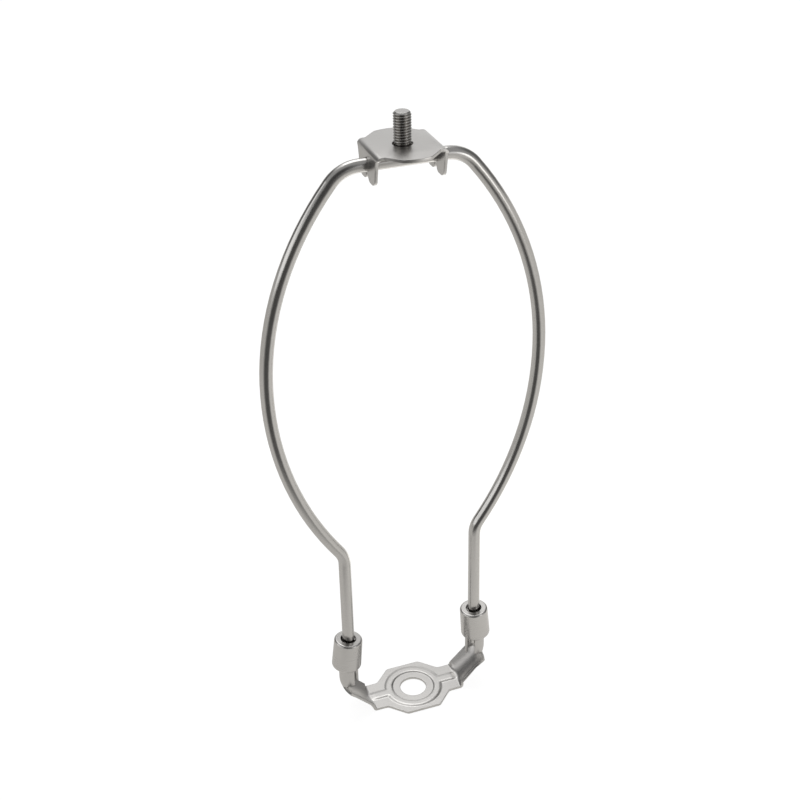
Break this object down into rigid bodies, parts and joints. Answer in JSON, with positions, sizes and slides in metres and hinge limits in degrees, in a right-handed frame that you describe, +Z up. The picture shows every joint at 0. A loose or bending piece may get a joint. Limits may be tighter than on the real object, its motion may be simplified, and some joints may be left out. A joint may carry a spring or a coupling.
{
  "type": "lamp harp",
  "caption": "Wire lamp harp that holds a shade over a bulb: sprung loop, stamped saddle, sliding locking sleeves and a swivel bracket with a threaded finial stud.",
  "frame": {"origin": "on the axis of the saddle's pipe hole, at the saddle's underside, which is the centre of the bottom of the bounding box", "axes": "+Z up along the finial stud, +X along the loop's width to the right leg, +Y to the back, square to the loop"},
  "size_m": [0.11, 0.0316, 0.2524],
  "materials": {
    "loop_nickel": "drawn steel wire, satin nickel plate",
    "bracket_nickel": "stamped sheet, satin nickel plate",
    "stud_nickel": "threaded rod, nickel plate",
    "sleeve_nickel": "drawn cup, satin nickel plate",
    "saddle_nickel": "stamped sheet, satin nickel plate"
  },
  "bodies": {
    "saddle": {"saddle": "saddle_nickel"},
    "loop": {"harp_wire": "loop_nickel"},
    "left_sleeve": {"left_sleeve": "sleeve_nickel"},
    "right_sleeve": {"right_sleeve": "sleeve_nickel"},
    "bracket": {"top_bracket": "bracket_nickel"},
    "stud": {"finial_stud": "stud_nickel"}
  },
  "joints": [
    {"name": "loop_lift", "type": "slide", "parent": "saddle", "child": "loop", "axis": [0, 0, 1], "range_m": [0, 0.018]},
    {"name": "left_sleeve_lift", "type": "slide", "parent": "loop", "child": "left_sleeve", "axis": [0, 0, 1], "range_m": [0, 0.04]},
    {"name": "right_sleeve_lift", "type": "slide", "parent": "loop", "child": "right_sleeve", "axis": [0, 0, 1], "range_m": [0, 0.04]},
    {"name": "bracket_swivel", "type": "hinge", "parent": "loop", "child": "bracket", "pos_m": [0, 0, 0.23575], "axis": [1, 0, 0], "continuous": true},
    {"name": "stud_turn", "type": "hinge", "parent": "bracket", "child": "stud", "pos_m": [0, 0, 0.2413], "axis": [0, 0, 1], "continuous": true}
  ]
}
